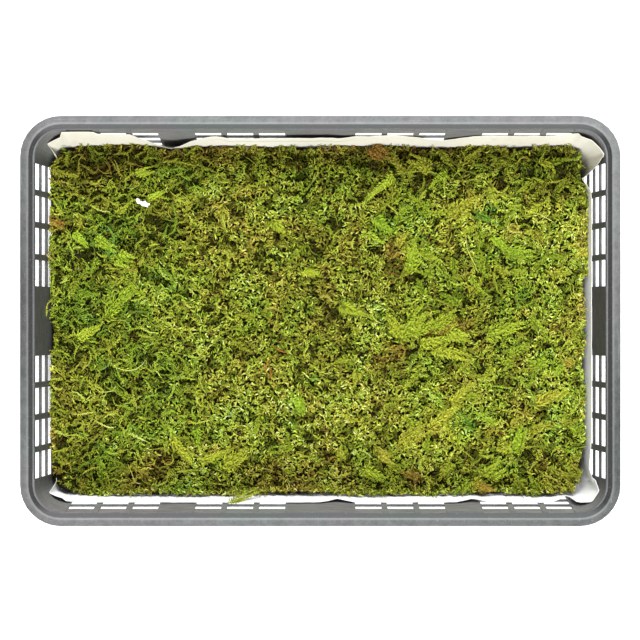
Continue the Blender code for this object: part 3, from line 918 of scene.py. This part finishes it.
def dress(strands, kind, points, hue, depth, rng, size=1.0):
    """Stems along points (n, joints, 3), with twigs to both sides of them."""
    number = len(points)
    margin = kind.margin + rng.uniform(0.0, RAGGED_EDGE, (number, 1))
    points = keep_inside(points, margin)
    steps = kind.joints - 1
    moves = np.diff(points, axis=1)
    stem_yaw = np.arctan2(moves[..., 1], moves[..., 0])
    stem_pitch = np.arctan2(moves[..., 2], np.hypot(moves[..., 0], moves[..., 1]))
    # Painted light and shade: the deeper a shoot lies, the darker its colour
    light = np.clip(OPEN_LIGHT - depth / SHADE_DEPTH, DEEP_LIGHT, OPEN_LIGHT)
    light = light * rng.uniform(*kind.light, number)
    along = np.linspace(0.0, 1.0, kind.joints)
    tone = (kind.root_tone + (kind.tip_tone - kind.root_tone) * along)[None] * light[:, None]
    width = rng.uniform(*kind.stem, number)
    strands.add(points, width, width * kind.flat, hue, tone)
    if not kind.twigs:
        return
    twigs = kind.twigs
    each = (number, twigs)
    spots = (np.arange(twigs) + 0.5) / twigs * TWIG_RUN + FIRST_TWIG
    spots = np.clip(spots[None] + rng.normal(0.0, TWIG_SHAKE / twigs, each), *TWIG_LIMITS)
    index = np.minimum((spots * steps).astype(int), steps - 1)
    share = (spots * steps - index)[..., None]
    rows = np.arange(number)[:, None]
    roots = points[rows, index] * (1 - share) + points[rows, index + 1] * share
    base_yaw = stem_yaw[rows, index]
    base_pitch = stem_pitch[rows, index]
    sides = np.where(np.arange(twigs) % 2, 1.0, -1.0)[None]
    spread = kind.spread * (1.0 - TWIG_CLOSING * spots) + rng.normal(0.0, kind.untidy, each)
    outline = np.sin(math.pi * (OUTLINE_START + OUTLINE_RUN * spots) ** kind.taper)
    reach = rng.uniform(*kind.twig_length, each) * np.maximum(outline, SHORT_TWIG) * size
    lift = rng.normal(kind.lift, kind.untidy, each) + base_pitch * 0.5
    curl = rng.normal(kind.curl, CURL_SPREAD, each)
    first = headings(base_yaw + sides * (spread + curl / 2), lift + TWIG_ARCH)
    second = headings(base_yaw + sides * (spread - curl / 2), lift - TWIG_ARCH)
    mids = roots + first * (reach * 0.5)[..., None]
    ends = mids + second * (reach * 0.5)[..., None]
    twig_points = np.stack([roots, mids, ends], axis=2).reshape(-1, 3, 3)
    twig_points = keep_inside(twig_points, np.repeat(margin, twigs, axis=0))
    shade = light[:, None] * rng.uniform(*TWIG_LIGHT, each)
    middle_tone = 0.4 * kind.root_tone + 0.6 * kind.tip_tone
    levels = (kind.root_tone * shade, middle_tone * shade, kind.tip_tone * shade)
    tones = np.stack(levels, axis=-1).reshape(-1, 3)
    hues = (hue[:, None] + rng.normal(0.0, TWIG_HUE_SPREAD, each)).ravel()
    width = rng.uniform(*kind.twig, number * twigs)
    strands.add(twig_points, width, width * kind.flat, hues, tones)


def moss_corners():
    """The corners of the moss's outline, in metres."""
    return np.array([photo_place(px, py, MOSS_TOP - MOSS_EDGE_FALL) for px, py in MOSS_OUTLINE])


def draw_in(points, slack):
    """Strands moved in as a whole where they pass the moss's outline by more than a slack (n, 1)."""
    corners = moss_corners()
    moved = points.copy()
    for axis, sign, zone in EDGE_ZONES:
        stops = corners[sign * corners[:, axis] > zone]
        stops = stops[np.argsort(stops[:, 1 - axis])]
        edge = np.interp(points[..., 1 - axis], stops[:, 1 - axis], stops[:, axis])
        over = sign * (points[..., axis] - edge) - slack
        moved[..., axis] -= sign * np.clip(over.max(axis=1, keepdims=True), 0.0, None)
    return moved


def within_moss(x, y):
    """Which places are inside the moss's outline."""
    corners = moss_corners()
    inside = np.zeros(len(x), bool)
    for (ax, ay), (bx, by) in zip(corners, np.roll(corners, -1, axis=0)):
        if ay != by:
            crossing = ax + (y - ay) * (bx - ax) / (by - ay)
            inside ^= ((ay > y) != (by > y)) & (x < crossing)
    return inside


def scatter(rng, sheet, spacing, share=None):
    """Places on a shaken grid, on one sheet and inside the moss's outline, or a share of them."""
    left, right = sheet.ends
    half_width = RIM_WIDTH / 2 - wall_inset(MOSS_TOP)
    columns = np.arange(left - SEAM_ROOM, right + SEAM_ROOM, spacing)
    rows = np.arange(-half_width, half_width, spacing)
    x, y = (grid.ravel() for grid in np.meshgrid(columns, rows))
    x = x + rng.uniform(-0.5, 0.5, len(x)) * spacing
    y = y + rng.uniform(-0.5, 0.5, len(y)) * spacing
    inside = within_moss(x * TIP_REACH[0], y * TIP_REACH[1])
    inside &= (x > seam(left, y)) & (x < seam(right, y))
    if share is not None:
        inside &= rng.random(len(x)) < share(x, y)
    return x[inside], y[inside]


def fringe(rng, side):
    """Places along the moss's outline on one sheet."""
    corners = moss_corners()
    runs = np.roll(corners, -1, axis=0) - corners
    lengths = np.hypot(runs[:, 0], runs[:, 1])
    ends = np.concatenate([[0.0], np.cumsum(lengths)])
    travelled = np.arange(0.0, ends[-1], FRINGE_SPACING)
    run = np.searchsorted(ends, travelled, side="right") - 1
    share = ((travelled - ends[run]) / lengths[run])[:, None]
    places = corners[run] + runs[run] * share
    places *= 1.0 - rng.uniform(0.0, FRINGE_WIDTH, (len(run), 1))
    here = [sheet_at(*place) == side for place in places]
    return places[here, 0], places[here, 1]


def patch_sum(patches, x, y):
    """The patches' strengths added up at places, each fading out smoothly at about its radius."""
    total = np.zeros(len(x))
    for px, py, radius, strength in patches:
        middle_x, middle_y = photo_place(px, py)
        away = np.hypot(x - middle_x, y - middle_y) / (radius * PIXEL)
        total += strength * np.exp(-(away**2))
    return total


def drawn_points(stops, joints, depth):
    """Points evenly along a shoot that is drawn through places of the photograph."""
    places = np.array([photo_place(*stop) for stop in stops])
    travelled = np.concatenate([[0.0], np.cumsum(np.hypot(*np.diff(places, axis=0).T))])
    along = np.linspace(0.0, 1.0, joints)
    x, y = (np.interp(along * travelled[-1], travelled, places[:, axis]) for axis in (0, 1))
    if len(stops[0]) == 3:
        z = np.interp(along * travelled[-1], travelled, [height for _, _, height in stops])
    else:
        z = moss_height(x, y) - depth - LONG_DIP + LONG_DIP * np.sin(math.pi * along)
    return np.stack([x, y, z], -1)


class Ground:
    """How the moss varies from place to place, and the shoots that grow by it."""

    def __init__(self, rng):
        self.rng = rng
        self.patches = {name: smooth_patches(rng, size) for name, size in PATCH_SIZES.items()}
        self.hollows = [(px, py, radius, 1.0) for px, py, radius in HOLLOWS]

    def yaw(self, x, y, spread, patches):
        return 4 * math.pi * self.patches[patches](x, y) + self.rng.normal(0.0, spread, len(x))

    def hue(self, x, y, base):
        coarse, medium = (self.patches[name](x, y) - 0.5 for name in ("coarse", "medium"))
        drift = HUE_DRIFT[0] * coarse + HUE_DRIFT[1] * medium
        located = patch_sum(HUE_PATCHES, x, y) - BACK_HUE * fade(y, BACK_HUE_ZONE)
        return base + drift + located + self.rng.normal(0.0, HUE_SPREAD, len(x))

    def sink(self, x, y):
        """How deep the tips lie below the moss's surface, which also darkens them with painted shade."""
        fine, medium, vigour = (self.patches[name](x, y) for name in ("fine", "medium", "vigour"))
        gap = np.clip((GAP_SHARE - fine) / GAP_SHARE, 0.0, 1.0) ** GAP_POWER
        back = BACK_SINK * fade(y, BACK_SINK_ZONE)
        left = LEFT_SINK * fade(-x, LEFT_SINK_ZONE)
        by_seam = SEAM_SINK * np.exp(-(((x - seam(SEAM_RIGHT, y)) / SEAM_SINK_WIDTH) ** 2))
        low = GAP_SINK * gap + MEDIUM_SINK * (1 - medium) + WIDE_SINK * (1 - vigour)
        low += back + left + by_seam
        ragged = np.clip(patch_sum(self.hollows, x, y), 0.0, 1.0) * (HOLLOW_SPREAD - fine)
        return low * (1.0 - patch_sum([NEEDLE_BED], x, y)) + HOLLOW_SINK * ragged

    def bareness(self, x, y):
        """The share of places where a bare stalk shows."""
        hollow = np.clip(patch_sum(self.hollows, x, y), 0.0, BARE_HOLLOW)
        return hollow + BARE_BACK * fade(y, BARE_BACK_ZONE) + BARE_SHARE

    def plant(self, strands, kind, sheet, spacing, share=None):
        """Shoots of one kind, scattered over a sheet."""
        x, y = scatter(self.rng, sheet, spacing, share)
        depth = kind.sinking * self.sink(x, y) + self.rng.uniform(*kind.depth, len(x))
        yaw = self.yaw(x, y, kind.astray, kind.facing)
        hue = self.rng.uniform(*kind.hues, len(x)) if kind.hues else self.hue(x, y, sheet.hue)
        grow(strands, kind, x, y, yaw, hue, np.minimum(depth, kind.deepest), self.rng)

    def plant_fringe(self, strands, side, sheet):
        """Twigs along a sheet's outline, deeper and browner along the back and the left, as painted shade
        of the walls.
        """
        x, y = fringe(self.rng, side)
        shade = FRINGE_SHADE * fade(np.maximum(y + BACK_SHIFT, -x), FRINGE_SHADE_ZONE)
        low, high = FRINGE_DEPTH
        depth = FRINGE_SINK * self.sink(x, y) + self.rng.uniform(low, high + shade)
        hue = self.hue(x, y, sheet.hue) - FRINGE_SHADE_HUE * shade
        yaw = self.yaw(x, y, FRINGE_TURN, "swirl")
        grow(strands, TWIG, x, y, yaw, hue, depth + FRINGE_SINK * shade, self.rng)


def build_thatch(side, sheet, material, rng):
    """The closed mat of old stems that one sheet's shoots stand on."""
    left, right = sheet.ends
    columns = round((right - left) / THATCH_CELL)
    rows = round(RIM_WIDTH / THATCH_CELL)
    shape = bmesh.new()
    top = bmesh.ops.create_grid(shape, x_segments=columns, y_segments=rows, size=0.5)["verts"]
    u = np.array([vert.co.x + 0.5 for vert in top])
    y = np.array([vert.co.y for vert in top]) * RIM_WIDTH
    start = seam(left, y)
    x = start + u * (seam(right, y) - start)
    lumps = smooth_patches(rng, THATCH_LUMP)
    height = moss_height(x, y) - THATCH_DEPTH + THATCH_ROUGHNESS * 2 * (lumps(x, y) - 0.5)
    height += rng.normal(0.0, THATCH_ROUGHNESS / 2, len(x))
    places = keep_inside(np.stack([x, y, height], -1), sheet.gap, THATCH_GAP - sheet.gap)
    for vert, place in zip(top, places):
        vert.co = place
    lower = bmesh.ops.extrude_face_region(shape, geom=shape.faces[:], use_keep_orig=True)["geom"]
    below = [item for item in lower if isinstance(item, bmesh.types.BMVert)]
    low = np.array([vert.co for vert in below])
    low[:, 2] = MOSS_BED
    for vert, place in zip(below, keep_inside(low, THATCH_FOOT_GAP)):
        vert.co = place
    bmesh.ops.recalc_face_normals(shape, faces=shape.faces)
    mat = add_shape(f"moss_{side}_thatch", shape, material)
    place_piece(mat, f"moss_sheet_{side}")


def add_strays(strands, side, sheet, ground, rng):
    """Tufts that lean out past the moss's outline, over the paper or the bare wall."""
    x, y = fringe(rng, side)
    loose = rng.random(len(x)) < STRAY_SHARE * ground.patches["medium"](x, y)
    x, y = x[loose], y[loose]
    along_side = np.where(x > 0, 0.0, math.pi)
    at_end = np.abs(y) * RIM_LENGTH > np.abs(x) * RIM_WIDTH
    outward = np.where(at_end, np.sign(y) * math.pi / 2, along_side)
    yaw = outward + rng.normal(0.0, STRAY_TURN, len(x))
    shift, spread = STRAY_HUE
    hue = sheet.hue + shift + patch_sum(HUE_PATCHES, x, y) + rng.normal(0.0, spread, len(x))
    grow(strands, STRAY, x, y, yaw, hue, rng.uniform(*STRAY.depth, len(x)), rng)


def add_drawn(strands, side, kind, drawings, rng):
    """The shoots of one kind that are drawn from the photograph and lie on one sheet."""
    depth = kind.drawn_depth
    for stops, hue, size in drawings:
        points = drawn_points(stops, kind.joints, depth)
        if sheet_at(*points[kind.joints // 2, :2]) == side:
            bundle = points[None] + rng.normal(0.0, kind.loose, (kind.bundle, 1, 3)) * BUNDLE_SPREAD
            same = np.ones(kind.bundle)
            dress(strands, kind, bundle, hue * same, depth * same, rng, size)


def build_moss():
    """Each sheet as five pieces: its mat of old stems, turf, tufts, long shoots and fronds."""
    ground = Ground(np.random.default_rng(SEED))
    rng = ground.rng
    stray_rng = np.random.default_rng(SEED + 1)
    drawn_fronds = [(stops, hue, width / FROND_WIDTH) for *stops, width, hue in FRONDS]
    thatch = thatch_material()
    for side, sheet in SHEETS.items():
        shoots = moss_material(f"moss_shoots_{side}", *sheet.look)
        feathery = moss_material(f"moss_fronds_{side}", *FROND_LOOK)
        build_thatch(side, sheet, thatch, rng)
        turf, tufts, long_shoots, fronds = (Strands() for _ in range(4))
        ground.plant(turf, TWIG, sheet, TURF_SPACING)
        ground.plant_fringe(turf, side, sheet)
        ground.plant(turf, STALK, sheet, STALK_SPACING, ground.bareness)
        ground.plant(tufts, TUFT, sheet, TUFT_SPACING)
        add_strays(tufts, side, sheet, ground, stray_rng)
        for kind, spacing, share in sheet.long:
            strands = fronds if kind is FROND else long_shoots
            ground.plant(strands, kind, sheet, spacing, lambda x, y: share)
        add_drawn(fronds, side, FROND, drawn_fronds, rng)
        add_drawn(long_shoots, side, RUNNER, [(*runner, 1.0) for runner in RUNNERS], rng)
        add_drawn(long_shoots, side, THREAD, [(*thread, 1.0) for thread in THREADS], rng)
        for part, strands, material in (
            ("turf", turf, shoots),
            ("tufts", tufts, shoots),
            ("long_shoots", long_shoots, shoots),
            ("fronds", fronds, feathery),
        ):
            item = strands.build(f"moss_{side}_{part}", material)
            place_piece(item, f"moss_sheet_{side}")


# -------- paper liner


def wall_line(height, outward):
    """Distance from the middle of a corner's arc out to the paper, when it stands against the wall."""
    return (RIM_CORNER - wall_inset(height) - PAPER_CLEARANCE) * outward


def side_columns(edge, along_x, outward):
    """Columns of the paper along one straight side: arc's middle, direction out, height and offset."""
    stops = np.array(sorted(edge))
    core_x = RIM_LENGTH / 2 - RIM_CORNER
    core_y = RIM_WIDTH / 2 - RIM_CORNER
    core = core_x if along_x else core_y
    places = np.linspace(core, -core, round(2 * core / PAPER_STEP)) * outward
    if not along_x:
        places = -places
    columns = []
    for place in places:
        height, lean = (np.interp(place, stops[:, 0], stops[:, i]) for i in (1, 2))
        if along_x:
            middle, out = (place, outward * core_y), (0.0, outward)
        else:
            middle, out = (outward * core_x, place), (outward, 0.0)
        fold = np.interp(place, *zip(*BACK_FOLD)) if out == (0.0, 1) else 0.0
        columns.append((*middle, *out, height, -lean * out[0], -lean * out[1], fold))
    return columns


def corner_columns(stops, side_x, side_y):
    """Columns round a corner, whose upper edge runs through stops rather than along the wall."""
    places = np.array([(*photo_place(px, py, height), height) for px, py, height in stops])
    places = keep_inside(places, PAPER_CLEARANCE)
    middle = np.array((side_x * (RIM_LENGTH / 2 - RIM_CORNER), side_y * (RIM_WIDTH / 2 - RIM_CORNER)))
    travelled = np.concatenate([[0.0], np.cumsum(np.linalg.norm(np.diff(places, axis=0), axis=1))])
    start = math.atan2(side_y, side_x) - math.pi / 4
    columns = []
    for step in range(1, CORNER_COLUMNS):
        share = step / CORNER_COLUMNS
        angle = start + share * math.pi / 2
        out = np.array((math.cos(angle), math.sin(angle)))
        edge = [np.interp(share * travelled[-1], travelled, places[:, i]) for i in range(3)]
        offset = np.array(edge[:2]) - middle - wall_line(edge[2], out)
        columns.append((*middle, *out, edge[2], *offset, 0.0))
    return columns


def build_liner():
    """The paper, row by row from the base up to its edge, with the creases of its turned-up sides."""
    columns = []
    corner_sides = ((1, 1), (-1, 1), (-1, -1), (1, -1))
    sides = (
        side_columns(RIGHT_EDGE, False, 1), side_columns(BACK_EDGE, True, 1),
        side_columns(LEFT_EDGE, False, -1), side_columns(FRONT_EDGE, True, -1),
    )
    for side, stops, corner in zip(sides, CORNER_EDGES, corner_sides):
        columns += side
        columns += corner_columns(stops, *corner)
    columns = np.array(columns)
    count = len(columns)
    rng = np.random.default_rng(SEED + 1)
    around = np.arange(count) / count * 2 * math.pi

    def waves(numbers):
        curves = [
            rng.uniform(*WAVE_SIZES) * np.sin(number * around + rng.uniform(0, 2 * math.pi))
            for number in numbers
        ]
        return sum(curves) / len(curves)

    swell = waves(SWELL_NUMBERS)
    ripple = waves(RIPPLE_NUMBERS)
    cornering = np.clip(np.hypot(columns[:, 5], columns[:, 6]) / FLAP_OFFSET, 0, 1)
    edge = columns[:, 4] + EDGE_WAVES[0] * swell + EDGE_WAVES[1] * ripple
    flutter = LEAN_WAVES[0] * (1 + swell) + LEAN_WAVES[1] * ripple
    shape = bmesh.new()
    grid = []
    for rise in PAPER_RISES:
        height = PAPER_BED + (edge - PAPER_BED) * rise
        crease = columns[:, 7] if rise > FOLD_RISE else 0.0
        puckers = PUCKER * np.sin(PUCKER_TURNS[0] * rise + PUCKER_TURNS[1] * around) * cornering
        lean = flutter * rise * (1 - cornering) + crease + puckers
        out = wall_line(height[:, None], columns[:, 2:4]) - columns[:, 2:4] * lean[:, None]
        plan = columns[:, 0:2] + out + columns[:, 5:7] * rise**2
        grid.append([shape.verts.new((x, y, z)) for (x, y), z in zip(plan, height)])
    for low, high in zip(grid, grid[1:]):
        for i in range(count):
            j = (i + 1) % count
            shape.faces.new((low[i], low[j], high[j], high[i]))
    shape.faces.new(grid[0])
    bmesh.ops.recalc_face_normals(shape, faces=shape.faces)
    shape.faces.ensure_lookup_table()
    if shape.faces[-1].normal.z < 0:
        bmesh.ops.reverse_faces(shape, faces=shape.faces)
    liner = add_shape("creased_liner", shape, paper_material())
    thicken(liner, PAPER)
    place_piece(liner, "paper_liner")


# -------- small things, floor, light, camera


def build_scrap():
    """The torn white scrap: a thin curled crescent."""
    lowest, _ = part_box("white_scrap")
    shape = bmesh.new()
    corners = [photo_place(px, py) for px, py in SCRAP_OUTLINE]
    shape.faces.new([shape.verts.new((x, y, 0.0)) for x, y in corners])
    bmesh.ops.triangulate(shape, faces=shape.faces)
    bmesh.ops.subdivide_edges(shape, edges=shape.edges, cuts=3, use_grid_fill=True)
    bmesh.ops.recalc_face_normals(shape, faces=shape.faces)
    for vert in shape.verts:
        vert.co.z = sum(size * math.sin(turns * way) for (size, turns), way in zip(SCRAP_WAVES, vert.co))
    scrap = add_shape("torn_scrap", shape, scrap_material())
    scrap.location.z = lowest.z + SCRAP_LIFT
    thicken(scrap, SCRAP_THICKNESS)
    place_piece(scrap, "white_scrap")


def build_floor():
    shape = bmesh.new()
    bmesh.ops.create_grid(shape, x_segments=8, y_segments=8, size=FLOOR_REACH)
    add_shape("floor", shape, floor_material())


def light_scene():
    """Two windows that face the tray, and a weak sky."""
    for name, (place, power) in WINDOWS.items():
        light = bpy.data.lights.new(name, "AREA")
        light.shape = "RECTANGLE"
        light.size, light.size_y = WINDOW_SIZE
        light.energy = power
        item = new_object(name, light)
        item.location = place
        item.rotation_euler = (-Vector(place)).to_track_quat("-Z", "Y").to_euler()
    world = bpy.data.worlds.new("studio")
    world.use_nodes = True
    set_inputs(world.node_tree.nodes["Background"], Color=SKY_COLOUR, Strength=SKY_STRENGTH)
    bpy.context.scene.world = world
    bpy.context.scene.view_settings.view_transform = "Standard"


def add_camera():
    camera = bpy.data.cameras.new("camera")
    camera.sensor_width = SENSOR
    camera.lens = SENSOR * CAMERA_HEIGHT / VIEW_WIDTH
    item = new_object("camera", camera)
    item.location = (*CAMERA_OFFSET, TRAY_HEIGHT + CAMERA_HEIGHT)
    bpy.context.scene.camera = item


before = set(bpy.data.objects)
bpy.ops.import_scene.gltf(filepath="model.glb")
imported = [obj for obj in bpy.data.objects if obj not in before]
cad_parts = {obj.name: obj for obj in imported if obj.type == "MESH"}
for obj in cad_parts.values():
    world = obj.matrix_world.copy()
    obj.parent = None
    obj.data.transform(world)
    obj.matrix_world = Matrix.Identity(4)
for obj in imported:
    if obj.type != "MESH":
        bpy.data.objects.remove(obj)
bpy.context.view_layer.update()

dry_needle = needle_material()
finishes = {"tray": plastic_material(), **{f"dry_needle_{number}": dry_needle for number in (1, 2, 3)}}
for name, finish in finishes.items():
    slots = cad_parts[name].data.materials
    slots.clear()
    slots.append(finish)

build_liner()
build_moss()
build_scrap()
build_floor()
light_scene()
add_camera()
